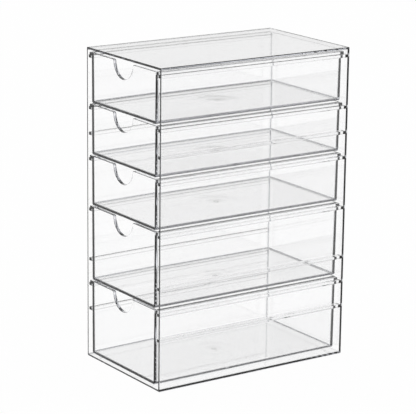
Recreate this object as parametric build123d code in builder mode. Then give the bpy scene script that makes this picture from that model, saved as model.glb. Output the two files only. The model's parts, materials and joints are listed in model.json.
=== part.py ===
from build123d import *
import os
from math import radians, tan

# Clear drawer tower for a vanity table: a moulded case, open at the front, and five moulded
# drawers that hang by their side flanges on rails inside the case.
# +Z is up and the drawers open towards -Y. The origin is the middle of the footprint, on the
# surface that the case stands on.

# --- case ---
CASE_WIDTH = 137.0
CASE_DEPTH = 228.0
CASE_HEIGHT = 326.0
CASE_WALL = 2.0
CASE_EDGE_RADIUS = 0.8
CASE_INSIDE_RADIUS = 1.0
MOUTH_EDGE_RADIUS = 0.6

# --- rails, moulded with the side walls ---
RAIL_WIDTH = 6.2
RAIL_THICKNESS = 3.0
RAIL_SETBACK = 1.2
RAIL_LEAD_IN = 1.5

# --- drawers ---
DRAWER_FRONT = 3.0
DRAWER_WALL = 2.0
DRAWER_FLOOR = 2.0
DRAWER_DRAFT = 0.5
DRAWER_EDGE_RADIUS = 1.2
DRAWER_RIM_CHAMFER = 0.4
DRAWER_FOOT_RADIUS = 2.2
DRAWER_INSIDE_RADIUS = 1.2
FLANGE_THICKNESS = 3.0
FLANGE_CORNER_RADIUS = 1.5
NOTCH_RADIUS = 17.5
NOTCH_LIP_RADIUS = 2.0
GATE_RECESS_RADIUS = 3.0
GATE_RECESS_DEPTH = 0.5

# --- clearances ---
LID_CLEARANCE = 2.5
STACK_CLEARANCE = 1.5
FOOT_CLEARANCE = 3.0
FLANGE_SIDE_CLEARANCE = 2.5
BODY_SIDE_CLEARANCE = 0.7
BACK_CLEARANCE = 2.0

# --- the stack, counted in rail units ---
SHALLOW_UNITS = 2
DEEP_UNITS = 3
DRAWERS = (
    ("top_drawer", SHALLOW_UNITS),
    ("second_drawer", SHALLOW_UNITS),
    ("third_drawer", SHALLOW_UNITS),
    ("fourth_drawer", DEEP_UNITS),
    ("bottom_drawer", DEEP_UNITS),
)

# --- what follows from the sizes above ---
inside_half_width = CASE_WIDTH / 2 - CASE_WALL
mouth_y = -CASE_DEPTH / 2
back_wall_y = CASE_DEPTH / 2 - CASE_WALL
rail_tip_x = inside_half_width - RAIL_WIDTH
rail_front_y = mouth_y + RAIL_SETBACK
flange_half_width = inside_half_width - FLANGE_SIDE_CLEARANCE
body_half_width = rail_tip_x - BODY_SIDE_CLEARANCE
drawer_back_y = back_wall_y - BACK_CLEARANCE
drawer_length = drawer_back_y - mouth_y
stack_units = sum(units for name, units in DRAWERS)
first_rim_z = CASE_HEIGHT - CASE_WALL - LID_CLEARANCE
last_foot_z = CASE_WALL + FOOT_CLEARANCE
unit_height = (first_rim_z - last_foot_z + STACK_CLEARANCE) / stack_units


def rim_z(unit):
    """Height of the rim of a drawer that hangs so many rail units below the top one."""
    return first_rim_z - unit * unit_height


# The case takes shallow drawers, deep ones or a mix, so it has a pair of rails at each height
# where either kind can hang. With this mix some rails stay free.
rail_units = [
    unit for unit in range(stack_units) if unit % SHALLOW_UNITS == 0 or unit % DEEP_UNITS == 0
]

# --- case: one moulding with top, bottom, back, two sides and their rails ---
with BuildPart() as case:
    with BuildSketch(Plane.XZ.offset(-mouth_y)):
        with Locations((0, CASE_HEIGHT / 2)):
            RectangleRounded(CASE_WIDTH, CASE_HEIGHT, CASE_EDGE_RADIUS)
    extrude(amount=-CASE_DEPTH)
    fillet(case.faces().sort_by(Axis.Y)[-1].edges(), CASE_EDGE_RADIUS)
    fillet(case.faces().sort_by(Axis.Y)[0].edges(), MOUTH_EDGE_RADIUS)
    with BuildSketch(Plane.XZ.offset(-mouth_y)):
        with Locations((0, CASE_HEIGHT / 2)):
            RectangleRounded(
                2 * inside_half_width, CASE_HEIGHT - 2 * CASE_WALL, CASE_INSIDE_RADIUS
            )
    extrude(amount=-(CASE_DEPTH - CASE_WALL), mode=Mode.SUBTRACT)
    # Each rail is a flat bar along the side wall, with a lead-in at its front end.
    for unit in rail_units:
        with BuildSketch(Plane.XY.offset(rim_z(unit) - FLANGE_THICKNESS)):
            with BuildLine():
                Polyline(
                    (inside_half_width, rail_front_y),
                    (rail_tip_x + RAIL_LEAD_IN, rail_front_y),
                    (rail_tip_x, rail_front_y + RAIL_LEAD_IN),
                    (rail_tip_x, back_wall_y),
                    (inside_half_width, back_wall_y),
                    close=True,
                )
            make_face()
            mirror(about=Plane.YZ)
        extrude(amount=-RAIL_THICKNESS)
case.part.label = "case"


def make_drawer(name, unit, height_in_units):
    """One drawer: a drafted tub with a flange along each side and a notch in its front."""
    rim = rim_z(unit)
    height = height_in_units * unit_height - STACK_CLEARANCE
    foot_half_width = body_half_width - height * tan(radians(DRAWER_DRAFT))
    middle_y = (mouth_y + drawer_back_y) / 2
    inside_width = 2 * (body_half_width - DRAWER_WALL)
    inside_length = drawer_length - DRAWER_FRONT - DRAWER_WALL
    inside_middle_y = middle_y + (DRAWER_FRONT - DRAWER_WALL) / 2
    with BuildPart() as drawer:
        # The outside narrows downwards by the draft and turns under at its foot.
        with BuildSketch(Plane.XZ.offset(-mouth_y)) as outline:
            with BuildLine():
                Polyline(
                    (-body_half_width, rim),
                    (body_half_width, rim),
                    (foot_half_width, rim - height),
                    (-foot_half_width, rim - height),
                    close=True,
                )
            make_face()
            fillet(outline.vertices().group_by(Axis.Y)[0], DRAWER_FOOT_RADIUS)
        extrude(amount=-drawer_length)
        ends = drawer.faces().sort_by(Axis.Y)
        for end in (ends[0], ends[-1]):
            rim_edge = end.edges().sort_by(Axis.Z)[-1:]
            fillet(end.edges() - rim_edge, DRAWER_EDGE_RADIUS)
        # The flanges run the full length of the sides, level with the rim.
        with BuildSketch(Plane.XY.offset(rim)):
            with Locations((0, middle_y)):
                RectangleRounded(2 * flange_half_width, drawer_length, FLANGE_CORNER_RADIUS)
        extrude(amount=-FLANGE_THICKNESS)
        # The inside is drafted all round and rounded in its corners and along its floor.
        with BuildSketch(Plane.XY.offset(rim)):
            with Locations((0, inside_middle_y)):
                Rectangle(inside_width, inside_length)
        extrude(amount=DRAWER_FLOOR - height, taper=DRAWER_DRAFT, mode=Mode.SUBTRACT)
        inside_edges = drawer.edges(Select.LAST).group_by(Axis.Z)
        fillet(inside_edges[0] + inside_edges[1], DRAWER_INSIDE_RADIUS)
        # A half-round finger notch in the rim of the front, with rounded lips.
        with BuildSketch(Plane.XZ.offset(-mouth_y)):
            with Locations((0, rim)):
                Circle(NOTCH_RADIUS)
        extrude(amount=-2 * DRAWER_FRONT, mode=Mode.SUBTRACT)
        lips = drawer.edges().filter_by(Axis.Y).filter_by_position(Axis.Z, rim, rim)
        fillet(lips.sort_by(lambda edge: abs(edge.center().X))[:2], NOTCH_LIP_RADIUS)
        # The outer edge of the rim is eased all the way round, along the notch too.
        front_face = drawer.faces().sort_by(Axis.Y)[0]
        chamfer(front_face.edges().filter_by_position(Axis.Z, rim, rim), DRAWER_RIM_CHAMFER)
        # The gate of the moulding leaves a small round recess under the middle of the floor.
        with BuildSketch(Plane.XY.offset(rim - height)):
            with Locations((0, middle_y)):
                Circle(GATE_RECESS_RADIUS)
        extrude(amount=GATE_RECESS_DEPTH, mode=Mode.SUBTRACT)
    drawer.part.label = name
    return drawer


os.makedirs("parts", exist_ok=True)
export_step(case.part, "parts/case.step")
unit = 0
for name, height_in_units in DRAWERS:
    drawer = make_drawer(name, unit, height_in_units)
    export_step(drawer.part, f"parts/{name}.step")
    unit += height_in_units
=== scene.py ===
"""Looks of the clear drawer tower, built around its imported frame.

The tower is a clear moulded case with five clear moulded drawers. Each moulding is a smooth
skin over its CAD solid, dressed in clear plastic, and stands in a plain white studio.
"""

import json
import logging
import math
from dataclasses import dataclass
from enum import Enum
from typing import Any, Optional

import bmesh
import bpy
from mathutils import Matrix, Vector


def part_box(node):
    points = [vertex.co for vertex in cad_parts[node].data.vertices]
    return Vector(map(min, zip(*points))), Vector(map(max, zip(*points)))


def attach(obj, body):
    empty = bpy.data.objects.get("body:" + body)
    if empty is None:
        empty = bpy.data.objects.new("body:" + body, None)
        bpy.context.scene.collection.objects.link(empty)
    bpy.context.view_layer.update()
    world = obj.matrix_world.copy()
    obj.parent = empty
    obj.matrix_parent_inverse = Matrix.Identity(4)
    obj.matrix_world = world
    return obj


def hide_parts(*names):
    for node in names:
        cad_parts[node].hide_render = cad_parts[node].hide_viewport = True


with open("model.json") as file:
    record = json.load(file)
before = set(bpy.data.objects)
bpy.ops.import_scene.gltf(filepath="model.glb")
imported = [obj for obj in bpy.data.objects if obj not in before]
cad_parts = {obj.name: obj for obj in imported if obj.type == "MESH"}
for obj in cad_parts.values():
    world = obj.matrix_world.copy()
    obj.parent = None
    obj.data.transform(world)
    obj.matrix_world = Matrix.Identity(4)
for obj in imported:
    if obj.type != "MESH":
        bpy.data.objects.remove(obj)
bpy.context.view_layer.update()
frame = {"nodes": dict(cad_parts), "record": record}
MM = 0.001
WHITE = (1.0, 1.0, 1.0, 1.0)
NOISE_ROUGHNESS = 0.5
SEED_STEP = 0.37
EDGE_ATTRIBUTE = "rounded_edge"
LOG = logging.getLogger("drawer_tower")


# ---------------------------------------------------------------- shader maths

class Value:
    """A shader socket that adds Math nodes when Python operators act on it."""

    def __init__(self, graph: "Graph", socket: bpy.types.NodeSocket) -> None:
        """Wrap an output socket of a graph.

        Args:
            graph: the graph that the socket belongs to.
            socket: an output socket that carries one number.
        """
        self.graph = graph
        self.socket = socket

    def _with(self, operation: str, *others: Any) -> "Value":
        """Return the result of a Math node on this value and the others."""
        return self.graph.maths(operation, self, *others)

    def __add__(self, other: Any) -> "Value":
        """Return self + other."""
        return self._with("ADD", other)

    __radd__ = __add__

    def __sub__(self, other: Any) -> "Value":
        """Return self - other."""
        return self._with("SUBTRACT", other)

    def __rsub__(self, other: Any) -> "Value":
        """Return other - self."""
        return self.graph.maths("SUBTRACT", other, self)

    def __mul__(self, other: Any) -> "Value":
        """Return self * other."""
        return self._with("MULTIPLY", other)

    __rmul__ = __mul__

    def __pow__(self, other: Any) -> "Value":
        """Return self to the power of other."""
        return self._with("POWER", other)

    def smooth(self, low: float, high: float) -> "Value":
        """Return 0 below low and 1 above high, with a smooth step between them.

        Args:
            low: the value that gives 0.
            high: the value that gives 1.

        Returns:
            The stepped value.
        """
        node = self.graph.node(
            "ShaderNodeMapRange", {"interpolation_type": "SMOOTHSTEP"},
            {"Value": self, "From Min": low, "From Max": high},
        )
        return Value(self.graph, node.outputs["Result"])


class Graph:
    """Adds nodes to one node tree."""

    def __init__(self, tree: bpy.types.NodeTree) -> None:
        """Empty the tree and start a graph on it.

        Args:
            tree: the tree of a material or of the world.
        """
        self.tree = tree
        tree.nodes.clear()

    def node(
        self, kind: str, settings: Optional[dict[str, Any]] = None,
        inputs: Optional[dict[str, Any]] = None,
    ) -> bpy.types.Node:
        """Add a node, set it up, and fill or link its sockets.

        Args:
            kind: the node's type, such as ShaderNodeTexNoise.
            settings: the node's own properties, which are set first.
            inputs: a plain value, a Value or an output socket for each named input.

        Returns:
            The new node.
        """
        node = self.tree.nodes.new(kind)
        for name, value in (settings or {}).items():
            setattr(node, name, value)
        for name, value in (inputs or {}).items():
            self.feed(node.inputs[name], value)
        return node

    def feed(self, socket: bpy.types.NodeSocket, value: Any) -> None:
        """Link a socket to a value, or set its own plain value."""
        if isinstance(value, Value):
            self.tree.links.new(value.socket, socket)
        elif isinstance(value, bpy.types.NodeSocket):
            self.tree.links.new(value, socket)
        else:
            socket.default_value = value

    def maths(self, operation: str, *terms: Any) -> Value:
        """Return the result of one Math node.

        Args:
            operation: the Math node's operation.
            terms: one to three numbers or Values.

        Returns:
            The node's result.
        """
        node = self.node("ShaderNodeMath", {"operation": operation})
        for socket, term in zip(node.inputs, terms):
            self.feed(socket, term)
        return Value(self, node.outputs[0])

    def noise(self, vector: bpy.types.NodeSocket, scale: float, detail: float) -> Value:
        """Return smooth noise of about -1 to 1.

        Args:
            vector: where the noise is read.
            scale: how many lumps there are in a metre.
            detail: how many finer layers are added.

        Returns:
            The noise, with a mean near zero.
        """
        node = self.node(
            "ShaderNodeTexNoise", {"noise_dimensions": "3D"},
            {
                "Vector": vector, "Scale": scale, "Detail": detail,
                "Roughness": NOISE_ROUGHNESS,
            },
        )
        return Value(self, node.outputs["Fac"]) * 2.0 - 1.0

    def stretched(
        self, vector: bpy.types.NodeSocket, scale: tuple[float, float, float],
    ) -> bpy.types.NodeSocket:
        """Return coordinates that are scaled.

        Args:
            vector: the coordinates.
            scale: the factor along each axis.

        Returns:
            The socket of the new coordinates.
        """
        node = self.node(
            "ShaderNodeMapping", {"vector_type": "TEXTURE"},
            {"Vector": vector, "Scale": tuple(1.0 / part for part in scale)},
        )
        return node.outputs["Vector"]


# ---------------------------------------------------------------- finishes

@dataclass(frozen=True)
class ClearPlastic:
    """A clear injection-moulded plastic with the faint marks of moulding and handling.

    The dark edge colour is painted shade, not a colour of the plastic. It stands in for dark
    surroundings that rounded edges would bend into view, which this white studio doesn't have.
    """

    name: str
    seed: float
    index: float = 1.49
    absorption_tint: tuple[float, float, float, float] = (0.70, 0.72, 0.86, 1.0)
    absorption_density: float = 3.0
    film_tint: tuple[float, float, float, float] = (0.985, 0.988, 0.99, 1.0)
    # Painted shade: a dark base colour for the rounded edges, in place of dark surroundings.
    painted_edge_shade: tuple[float, float, float, float] = (0.46, 0.47, 0.49, 1.0)
    polish: float = 0.012
    haze: float = 0.05
    gate_y: Optional[float] = None
    gate_swell: float = 0.22 * MM
    gate_reach: float = 34.0 * MM
    flow_height: float = 0.035 * MM
    gate_ripple: float = 0.12
    ripple_share: float = 0.5
    flow_scale: float = 22.0
    flow_detail: float = 1.5
    smudge_scale: float = 14.0
    smudge_detail: float = 4.0
    smudge_span: tuple[float, float] = (0.15, 0.75)
    smudge_share: float = 0.5
    scratch_height: float = 0.004 * MM
    scratch_haze: float = 0.04
    scratch_stretch: tuple[float, float, float] = (1100.0, 18.0, 1100.0)
    scratch_detail: float = 2.0
    scratch_span: tuple[float, float] = (0.45, 0.7)
    patch_scale: float = 30.0
    patch_detail: float = 2.0
    patch_span: tuple[float, float] = (0.2, 0.6)

    def material(self) -> bpy.types.Material:
        """Build the material.

        Returns:
            The new material.
        """
        material = bpy.data.materials.new(self.name)
        material.use_nodes = True
        graph = Graph(material.node_tree)
        place = graph.node("ShaderNodeTexCoord").outputs["Object"]
        moved = graph.node(
            "ShaderNodeMapping", None, {"Vector": place, "Location": (self.seed, -self.seed, 0.0)}
        ).outputs["Vector"]
        flow = graph.noise(moved, self.flow_scale, self.flow_detail)
        smudge = graph.noise(moved, self.smudge_scale, self.smudge_detail)
        smudge = smudge.smooth(*self.smudge_span)
        scuffs = self._scuffs(graph, moved)
        roughness = (
            self.polish + self.haze * smudge * self.smudge_share + self.scratch_haze * scuffs
        )
        rounded = Value(graph, graph.node(
            "ShaderNodeAttribute", {"attribute_name": EDGE_ATTRIBUTE}
        ).outputs["Fac"])
        film = graph.node("ShaderNodeMix", {"data_type": "RGBA"}, {
            "Factor": smudge * self.smudge_share, "A": WHITE, "B": self.film_tint,
        })
        # Painted shade: the rounded edges get a dark base colour in place of dark surroundings.
        shade = graph.node("ShaderNodeMix", {"data_type": "RGBA"}, {
            "Factor": rounded, "A": film.outputs["Result"], "B": self.painted_edge_shade,
        })
        height = flow * self.flow_height + scuffs * self.scratch_height
        if self.gate_y is not None:
            height = height + self._swell(graph, place) * self.gate_swell
        bump = graph.node(
            "ShaderNodeBump", None, {"Height": height, "Distance": 1.0, "Strength": 1.0}
        )
        plastic = graph.node("ShaderNodeBsdfPrincipled", None, {
            "Base Color": shade.outputs["Result"],
            "Roughness": roughness,
            "Normal": bump.outputs["Normal"],
            "IOR": self.index,
            "Transmission Weight": 1.0,
        })
        body = graph.node("ShaderNodeVolumeAbsorption", None, {
            "Color": self.absorption_tint, "Density": self.absorption_density,
        })
        graph.node("ShaderNodeOutputMaterial", None, {
            "Surface": plastic.outputs["BSDF"], "Volume": body.outputs["Volume"],
        })
        return material

    def _swell(self, graph: Graph, place: bpy.types.NodeSocket) -> Value:
        """Return how much the melt has swollen the plastic round its gate, from 0 to 1."""
        parts = graph.node("ShaderNodeSeparateXYZ", None, {"Vector": place})
        across = Value(graph, parts.outputs["X"])
        along = Value(graph, parts.outputs["Y"]) - self.gate_y
        reach = (across * across + along * along) ** 0.5
        ripple_length = self.ripple_share * self.gate_reach
        ripple = graph.maths("SINE", reach * (2.0 * math.pi / ripple_length))
        near = 1.0 - reach.smooth(0.0, self.gate_reach)
        return near * (1.0 + ripple * self.gate_ripple)

    def _scuffs(self, graph: Graph, place: bpy.types.NodeSocket) -> Value:
        """Return fine scratches that run along the drawers' travel, from 0 to 1."""
        lines = graph.noise(
            graph.stretched(place, self.scratch_stretch), 1.0, self.scratch_detail
        )
        patches = graph.noise(place, self.patch_scale, self.patch_detail)
        return lines.smooth(*self.scratch_span) * patches.smooth(*self.patch_span)


# ---------------------------------------------------------------- shapes from nodes

class GeometryTree:
    """A Geometry Nodes tree with named inputs, which is run on one mesh and baked."""

    def __init__(self, name: str) -> None:
        """Start an empty tree with a mesh going in and a mesh coming out.

        Args:
            name: the tree's name.
        """
        self.tree = bpy.data.node_groups.new(name, "GeometryNodeTree")
        self.identifiers: dict[str, str] = {}
        self.add_input("Geometry", "NodeSocketGeometry")
        self.tree.interface.new_socket(
            "Geometry", in_out="OUTPUT", socket_type="NodeSocketGeometry"
        )
        self.start = self.tree.nodes.new("NodeGroupInput")

    def add_input(self, name: str, kind: str) -> None:
        """Add a named input to the tree.

        Args:
            name: what the input is called.
            kind: the type of its socket.
        """
        socket = self.tree.interface.new_socket(name, in_out="INPUT", socket_type=kind)
        self.identifiers[name] = socket.identifier

    def given(self, name: str) -> bpy.types.NodeSocket:
        """Return the socket that carries a named input."""
        return self.start.outputs[name]

    def node(
        self, kind: str, settings: Optional[dict[str, Any]] = None,
        inputs: Optional[dict[Any, Any]] = None,
    ) -> bpy.types.Node:
        """Add a node, set it up, and fill or link its sockets.

        Args:
            kind: the node's type, such as GeometryNodeTransform.
            settings: the node's own properties, which are set first.
            inputs: a plain value, an output socket, or a list of these for each input.

        Returns:
            The new node.
        """
        node = self.tree.nodes.new(kind)
        for name, value in (settings or {}).items():
            setattr(node, name, value)
        for name, value in (inputs or {}).items():
            for item in value if isinstance(value, list) else [value]:
                if isinstance(item, bpy.types.NodeSocket):
                    self.tree.links.new(item, node.inputs[name])
                else:
                    node.inputs[name].default_value = item
        return node

    def finish(self, geometry: bpy.types.NodeSocket) -> None:
        """End the tree: make the instances real, give them their material, hand them out.

        Args:
            geometry: the socket of the finished shape.
        """
        real = self.node("GeometryNodeRealizeInstances", None, {"Geometry": geometry})
        dressed = self.node("GeometryNodeSetMaterial", None, {
            "Geometry": real.outputs["Geometry"], "Material": self.given("Material"),
        })
        self.node("NodeGroupOutput", None, {0: dressed.outputs["Geometry"]})

    def bake(self, mesh: bpy.types.Mesh, values: dict[str, Any]) -> bpy.types.Mesh:
        """Run the tree on a mesh.

        Args:
            mesh: the mesh that goes in.
            values: what each named input is set to.

        Returns:
            The plain mesh that comes out.
        """
        carrier = bpy.data.objects.new(self.tree.name, mesh)
        bpy.context.scene.collection.objects.link(carrier)
        modifier = carrier.modifiers.new(self.tree.name, "NODES")
        modifier.node_group = self.tree
        for name, value in values.items():
            modifier[self.identifiers[name]] = value
        evaluated = carrier.evaluated_get(bpy.context.evaluated_depsgraph_get())
        baked = bpy.data.meshes.new_from_object(evaluated)
        bpy.data.objects.remove(carrier)
        return baked


# ---------------------------------------------------------------- mouldings

class Role(Enum):
    """What a moulding is."""

    CASE = "clear_case"
    DRAWER = "clear_drawer"


@dataclass
class Moulding:
    """One clear moulding: a smooth skin that stands for its CAD solid."""

    node: str
    body: str
    role: Role
    finish: ClearPlastic
    merge_distance: float = 0.002 * MM
    coplanar_angle: float = math.radians(0.2)
    crease_angle: float = math.radians(28.0)
    flat_limit: float = 0.985

    def __post_init__(self) -> None:
        """Make the material, so that every step uses the same one."""
        self.material = self.finish.material()

    def shape(self) -> bpy.types.Mesh:
        """Return the moulding's mesh, before its edges are smoothed."""
        mesh = frame["nodes"][self.node].data.copy()
        self.tidy(mesh)
        return mesh

    def build(self) -> bpy.types.Object:
        """Make the skin, smooth its rounded edges and dress it.

        Returns:
            The skin, riding on its body.
        """
        mesh = self.shape()
        mesh.name = f"{self.node}_skin"
        self.tidy(mesh)
        stored = mesh.attributes.get("custom_normal")
        if stored is not None:
            mesh.attributes.remove(stored)
        self._mark_edges(mesh)
        mesh.materials.clear()
        mesh.materials.append(self.material)
        skin = bpy.data.objects.new(f"{self.node}_skin", mesh)
        bpy.context.scene.collection.objects.link(skin)
        self._even_normals(skin)
        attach(skin, self.body)
        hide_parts(self.node)
        return skin

    def tidy(self, mesh: bpy.types.Mesh) -> None:
        """Join a mesh's triangles and mark which of its edges are sharp.

        Args:
            mesh: the mesh, which is changed in place.
        """
        work = bmesh.new()
        work.from_mesh(mesh)
        bmesh.ops.remove_doubles(work, verts=work.verts, dist=self.merge_distance)
        bmesh.ops.dissolve_limit(
            work, angle_limit=self.coplanar_angle, verts=work.verts, edges=work.edges
        )
        for face in work.faces:
            face.smooth = True
        for edge in work.edges:
            edge.smooth = edge.is_manifold and edge.calc_face_angle(math.pi) < self.crease_angle
        work.to_mesh(mesh)
        work.free()

    def _mark_edges(self, mesh: bpy.types.Mesh) -> None:
        """Mark the sloping faces, which are the rounded and chamfered edges, for their painted
        shade.
        """
        marks = mesh.attributes.new(EDGE_ATTRIBUTE, "FLOAT", "FACE")
        for face in mesh.polygons:
            flatness = max(abs(part) for part in face.normal)
            marks.data[face.index].value = float(flatness < self.flat_limit)

    @staticmethod
    def _even_normals(skin: bpy.types.Object) -> None:
        """Let the flat faces keep their own normals beside the rounded edges."""
        even = skin.modifiers.new("even_normals", "WEIGHTED_NORMAL")
        even.keep_sharp = True
        even.weight = 100


@dataclass
class GatedDrawer(Moulding):
    """A drawer, with the stub that its mould's gate leaves in the recess under its floor."""

    stub_sides: int = 40
    stub_radius: float = 2.3 * MM
    stub_tip_radius: float = 1.3 * MM
    stub_height: float = 0.45 * MM
    recess_depth: float = 0.5 * MM
    embed: float = 0.2 * MM
    middle_y: float = -2.0 * MM

    def shape(self) -> bpy.types.Mesh:
        """Return the drawer's mesh with the gate stub grown onto its floor."""
        tree = GeometryTree(f"{self.node}_gate")
        tree.add_input("Stub Radius", "NodeSocketFloat")
        tree.add_input("Stub Tip Radius", "NodeSocketFloat")
        tree.add_input("Stub Height", "NodeSocketFloat")
        tree.add_input("Stub Place", "NodeSocketVector")
        tree.add_input("Material", "NodeSocketMaterial")
        stub = tree.node("GeometryNodeMeshCone", {"fill_type": "NGON"}, {
            "Vertices": self.stub_sides, "Radius Top": tree.given("Stub Radius"),
            "Radius Bottom": tree.given("Stub Tip Radius"), "Depth": tree.given("Stub Height"),
        })
        placed = tree.node("GeometryNodeTransform", None, {
            "Geometry": stub.outputs["Mesh"], "Translation": tree.given("Stub Place"),
        })
        whole = tree.node("GeometryNodeMeshBoolean", {"operation": "UNION"}, {
            "Mesh 2": [tree.given("Geometry"), placed.outputs["Geometry"]],
        })
        tree.finish(whole.outputs["Mesh"])
        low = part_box(self.node)[0].z
        tip = low + self.recess_depth - self.stub_height
        return tree.bake(super().shape(), {
            "Stub Radius": self.stub_radius,
            "Stub Tip Radius": self.stub_tip_radius,
            "Stub Height": self.stub_height + self.embed,
            "Stub Place": (0.0, self.middle_y, tip),
            "Material": self.material,
        })


@dataclass
class RailedCase(Moulding):
    """The case: a rounded shell with the rails that repeat down the inside of its two sides."""

    wall: float = 2.0 * MM
    edge_radius: float = 0.8 * MM
    mouth_radius: float = 0.6 * MM
    inside_radius: float = 1.0 * MM
    corner_steps: int = 8
    rail_width: float = 6.2 * MM
    rail_thickness: float = 3.0 * MM
    rail_setback: float = 1.2 * MM
    rail_lead_in: float = 1.5 * MM
    rail_embed: float = 0.4 * MM
    first_rail_top: float = 318.5 * MM
    unit_height: float = 26.5 * MM
    stack_units: int = 12
    shallow_units: int = 2
    deep_units: int = 3

    def shape(self) -> bpy.types.Mesh:
        """Return the shell with all its rails grown onto it."""
        low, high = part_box(self.node)
        mesh = bpy.data.meshes.new("case_shell")
        work = bmesh.new()
        is_rail = work.faces.layers.bool.new("is_rail")
        self._shell(work, low, high)
        self._rail(work, low, high, is_rail)
        bmesh.ops.remove_doubles(work, verts=work.verts, dist=self.merge_distance)
        bmesh.ops.recalc_face_normals(work, faces=work.faces)
        work.to_mesh(mesh)
        work.free()
        return self._tree().bake(mesh, {
            "Unit Height": self.unit_height,
            "Stack Units": self.stack_units,
            "Shallow Units": self.shallow_units,
            "Deep Units": self.deep_units,
            "Material": self.material,
        })

    def _tree(self) -> GeometryTree:
        """Return the tree that repeats one rail at each height where a drawer can hang."""
        tree = GeometryTree("case_rails")
        tree.add_input("Unit Height", "NodeSocketFloat")
        tree.add_input("Stack Units", "NodeSocketInt")
        tree.add_input("Shallow Units", "NodeSocketInt")
        tree.add_input("Deep Units", "NodeSocketInt")
        tree.add_input("Material", "NodeSocketMaterial")
        marked = tree.node("GeometryNodeInputNamedAttribute", {"data_type": "BOOLEAN"}, {
            "Name": "is_rail",
        })
        parts = tree.node("GeometryNodeSeparateGeometry", {"domain": "FACE"}, {
            "Geometry": tree.given("Geometry"), "Selection": marked.outputs["Attribute"],
        })
        drop = tree.node("ShaderNodeMath", {"operation": "MULTIPLY"}, {
            0: tree.given("Unit Height"), 1: -1.0,
        })
        step = tree.node("ShaderNodeCombineXYZ", None, {"Z": drop.outputs["Value"]})
        heights = tree.node("GeometryNodeMeshLine", None, {
            "Count": tree.given("Stack Units"), "Offset": step.outputs["Vector"],
        })
        chosen = tree.node("FunctionNodeBooleanMath", {"operation": "OR"}, {
            0: self._divides(tree, "Shallow Units"), 1: self._divides(tree, "Deep Units"),
        })
        right = tree.node("GeometryNodeInstanceOnPoints", None, {
            "Points": heights.outputs["Mesh"], "Selection": chosen.outputs["Boolean"],
            "Instance": parts.outputs["Selection"],
        })
        right = tree.node("GeometryNodeRealizeInstances", None, {
            "Geometry": right.outputs["Instances"],
        })
        left = tree.node("GeometryNodeTransform", None, {
            "Geometry": right.outputs["Geometry"], "Scale": (-1.0, 1.0, 1.0),
        })
        left = tree.node("GeometryNodeFlipFaces", None, {"Mesh": left.outputs["Geometry"]})
        whole = tree.node("GeometryNodeMeshBoolean", {"operation": "UNION"}, {
            "Mesh 2": [
                parts.outputs["Inverted"], right.outputs["Geometry"], left.outputs["Mesh"],
            ],
        })
        tree.finish(whole.outputs["Mesh"])
        return tree

    @staticmethod
    def _divides(tree: GeometryTree, name: str) -> bpy.types.NodeSocket:
        """Return whether a point's number is a multiple of a named input."""
        index = tree.node("GeometryNodeInputIndex")
        rest = tree.node("FunctionNodeIntegerMath", {"operation": "MODULO"}, {
            0: index.outputs["Index"], 1: tree.given(name),
        })
        same = tree.node("FunctionNodeCompare", {"data_type": "INT", "operation": "EQUAL"}, {
            2: rest.outputs["Value"], 3: 0,
        })
        return same.outputs["Result"]

    def _shell(self, work: bmesh.types.BMesh, low: Vector, high: Vector) -> None:
        """Add the shell: a rounded box with a rounded cavity that is open at the front.

        Args:
            work: the mesh being built.
            low: the lowest corner of the case's box.
            high: its highest corner.
        """
        steps = self.corner_steps
        turns = [math.pi / 2 * number / steps for number in range(steps + 1)]
        rings = [
            self._ring(work, low, high, self.wall, self.inside_radius, high.y - self.wall),
            self._ring(work, low, high, self.wall, self.inside_radius, low.y),
        ]
        for turn in turns:
            inset = self.mouth_radius * (1.0 - math.sin(turn))
            along = low.y + self.mouth_radius * (1.0 - math.cos(turn))
            rings.append(self._ring(work, low, high, inset, self.edge_radius - inset, along))
        for turn in turns:
            inset = self.edge_radius * (1.0 - math.cos(turn))
            along = high.y - self.edge_radius * (1.0 - math.sin(turn))
            rings.append(self._ring(work, low, high, inset, self.edge_radius - inset, along))
        for first, second in zip(rings, rings[1:]):
            count = len(first)
            for number in range(count):
                following = (number + 1) % count
                work.faces.new((
                    first[number], first[following], second[following], second[number],
                ))
        work.faces.new(rings[0])
        work.faces.new(rings[-1])

    def _ring(
        self, work: bmesh.types.BMesh, low: Vector, high: Vector, inset: float,
        radius: float, along: float,
    ) -> list[bmesh.types.BMVert]:
        """Add one rounded rectangle across the case.

        Args:
            work: the mesh being built.
            low: the lowest corner of the case's box.
            high: its highest corner.
            inset: how far the rectangle lies inside the box.
            radius: the radius of its corners.
            along: where it lies along Y.

        Returns:
            Its vertices, in order.
        """
        verts = []
        half = (high.x - low.x) / 2 - inset - radius
        bottom, top = low.z + inset + radius, high.z - inset - radius
        corners = ((half, top, 0.0), (-half, top, 0.5), (-half, bottom, 1.0), (half, bottom, 1.5))
        for x, z, start in corners:
            for number in range(self.corner_steps + 1):
                angle = math.pi * (start + 0.5 * number / self.corner_steps)
                verts.append(work.verts.new((
                    x + radius * math.cos(angle), along, z + radius * math.sin(angle),
                )))
        return verts

    def _rail(
        self, work: bmesh.types.BMesh, low: Vector, high: Vector,
        is_rail: bmesh.types.BMLayerItem,
    ) -> None:
        """Add the topmost rail of the right side, let a little into the walls.

        Args:
            work: the mesh being built.
            low: the lowest corner of the case's box.
            high: its highest corner.
            is_rail: the face layer that marks the rail.
        """
        root = high.x - self.wall + self.rail_embed
        tip = high.x - self.wall - self.rail_width
        front = low.y + self.rail_setback
        back = high.y - self.wall + self.rail_embed
        outline = (
            (root, front), (tip + self.rail_lead_in, front), (tip, front + self.rail_lead_in),
            (tip, back), (root, back),
        )
        floors = [self.first_rail_top, self.first_rail_top - self.rail_thickness]
        upper, lower = [[work.verts.new((x, y, z)) for x, y in outline] for z in floors]
        sides = [
            (upper[number - 1], upper[number], lower[number], lower[number - 1])
            for number in range(len(outline))
        ]
        for verts in [tuple(upper), tuple(reversed(lower)), *sides]:
            work.faces.new(verts)[is_rail] = True


# ---------------------------------------------------------------- studio

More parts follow.
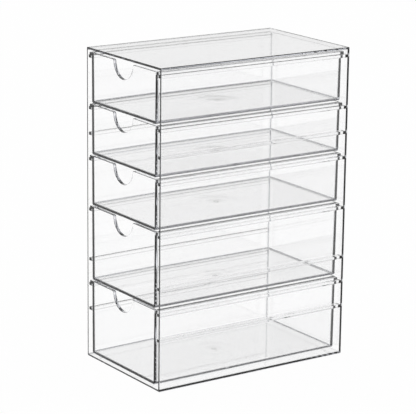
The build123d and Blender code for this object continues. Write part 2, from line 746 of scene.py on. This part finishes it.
@dataclass(frozen=True)
class PhotoCamera:
    """The camera of the photograph, as an angle round the tower and a distance."""

    azimuth: float = math.radians(55.411)
    elevation: float = math.radians(14.548)
    roll: float = math.radians(0.709)
    distance: float = 2.1140
    aim_right: float = -0.00899
    aim_up: float = -0.00366
    focal_pixels: float = 2055.7
    image_width: int = 416
    sensor_width: float = 36.0
    clip_start: float = 0.01
    clip_end: float = 100.0

    def build(self, middle_height: float) -> bpy.types.Object:
        """Set the camera up.

        Args:
            middle_height: half the tower's height, which the angles are taken about.

        Returns:
            The camera object.
        """
        back = Vector((
            math.sin(self.azimuth) * math.cos(self.elevation),
            -math.cos(self.azimuth) * math.cos(self.elevation),
            math.sin(self.elevation),
        ))
        level = Vector((math.cos(self.azimuth), math.sin(self.azimuth), 0.0))
        upright = back.cross(level)
        right = level * math.cos(self.roll) + upright * math.sin(self.roll)
        up = upright * math.cos(self.roll) - level * math.sin(self.roll)
        data = bpy.data.cameras.new("photo_camera")
        data.sensor_fit = "HORIZONTAL"
        data.sensor_width = self.sensor_width
        data.lens = self.focal_pixels * self.sensor_width / self.image_width
        data.clip_start = self.clip_start
        data.clip_end = self.clip_end
        camera = bpy.data.objects.new("photo_camera", data)
        bpy.context.scene.collection.objects.link(camera)
        place = Matrix((right, up, back)).transposed().to_4x4()
        place.translation = (
            Vector((0.0, 0.0, middle_height)) + right * self.aim_right
            + up * self.aim_up + back * self.distance
        )
        camera.matrix_world = place
        bpy.context.scene.camera = camera
        return camera


@dataclass
class Studio:
    """A white studio: a wide white floor under a surround that is a little dimmer overhead.

    The floor glows white for all but floor_glow's remainder when it is seen, mirrored or seen
    through plastic, so only that remainder of the tower's shadow shows.
    """

    overhead_level: float = 0.76
    overhead_span: tuple[float, float] = (0.02, 0.2)
    floor_radius: float = 6.0
    floor_clear_radius: float = 4.0
    floor_fade_share: float = 0.98
    floor_segments: int = 96
    floor_white: float = 0.9
    floor_gap: float = 0.4 * MM
    floor_glow: float = 0.98
    bounces: int = 14
    transparent_bounces: int = 16

    def build(self) -> None:
        """Build the surround and the floor, and set how light is traced."""
        self._surround()
        self._floor()
        scene = bpy.context.scene
        scene.view_settings.view_transform = "Standard"
        scene.cycles.max_bounces = self.bounces
        scene.cycles.transmission_bounces = self.bounces
        scene.cycles.glossy_bounces = self.bounces
        scene.cycles.transparent_max_bounces = self.transparent_bounces

    def _surround(self) -> None:
        """Light the world evenly all round, and a little less from overhead."""
        world = bpy.data.worlds.new("white_surround")
        bpy.context.scene.world = world
        world.use_nodes = True
        graph = Graph(world.node_tree)
        direction = graph.node("ShaderNodeTexCoord").outputs["Generated"]
        parts = graph.node("ShaderNodeSeparateXYZ", None, {"Vector": direction})
        overhead = Value(graph, parts.outputs["Z"]).smooth(*self.overhead_span)
        light = graph.node("ShaderNodeBackground", None, {
            "Color": WHITE,
            "Strength": 1.0 - overhead * (1.0 - self.overhead_level),
        })
        graph.node("ShaderNodeOutputWorld", None, {"Surface": light.outputs["Background"]})

    def _floor(self) -> None:
        """Lay a round white floor that fades into the surround."""
        mesh = bpy.data.meshes.new("floor")
        work = bmesh.new()
        bmesh.ops.create_circle(
            work, cap_ends=True, segments=self.floor_segments, radius=self.floor_radius
        )
        work.to_mesh(mesh)
        work.free()
        mesh.transform(Matrix.Translation((0.0, 0.0, -self.floor_gap)))
        floor = bpy.data.objects.new("floor", mesh)
        bpy.context.scene.collection.objects.link(floor)
        material = bpy.data.materials.new("white_floor")
        material.use_nodes = True
        graph = Graph(material.node_tree)
        place = graph.node("ShaderNodeTexCoord").outputs["Object"]
        reach = graph.node("ShaderNodeVectorMath", {"operation": "LENGTH"}, {0: place})
        fade = Value(graph, reach.outputs["Value"]).smooth(
            self.floor_clear_radius, self.floor_radius * self.floor_fade_share
        )
        path = graph.node("ShaderNodeLightPath")
        seen = graph.maths(
            "MAXIMUM", path.outputs["Is Camera Ray"], path.outputs["Is Glossy Ray"]
        )
        seen = graph.maths("MAXIMUM", seen, path.outputs["Is Transmission Ray"])
        matt = graph.node("ShaderNodeBsdfDiffuse", None, {
            "Color": (self.floor_white, self.floor_white, self.floor_white, 1.0),
        })
        white = graph.node("ShaderNodeEmission", None, {"Color": WHITE, "Strength": 1.0})
        lit = graph.node("ShaderNodeMixShader", None, {"Fac": seen * self.floor_glow})
        graph.feed(lit.inputs[1], matt.outputs["BSDF"])
        graph.feed(lit.inputs[2], white.outputs["Emission"])
        gone = graph.node("ShaderNodeBsdfTransparent")
        faded = graph.node("ShaderNodeMixShader", None, {"Fac": fade})
        graph.feed(faded.inputs[1], lit.outputs["Shader"])
        graph.feed(faded.inputs[2], gone.outputs["BSDF"])
        graph.node("ShaderNodeOutputMaterial", None, {"Surface": faded.outputs["Shader"]})
        mesh.materials.append(material)


def main() -> None:
    """Build the tower's mouldings, the studio and the camera."""
    logging.basicConfig(level=logging.INFO)
    for number, (body, nodes) in enumerate(frame["record"]["behaviour"]["bodies"].items()):
        for node in nodes:
            name, seed = f"{node}_plastic", SEED_STEP * number
            if body == "case":
                skin = RailedCase(node, body, Role.CASE, ClearPlastic(name, seed)).build()
            else:
                finish = ClearPlastic(name, seed, gate_y=GatedDrawer.middle_y)
                skin = GatedDrawer(node, body, Role.DRAWER, finish).build()
            LOG.info("%s: %d faces, rides on %s", skin.name, len(skin.data.polygons), body)
    Studio().build()
    PhotoCamera().build(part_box("case")[1].z / 2)


if __name__ == "__main__":
    main()
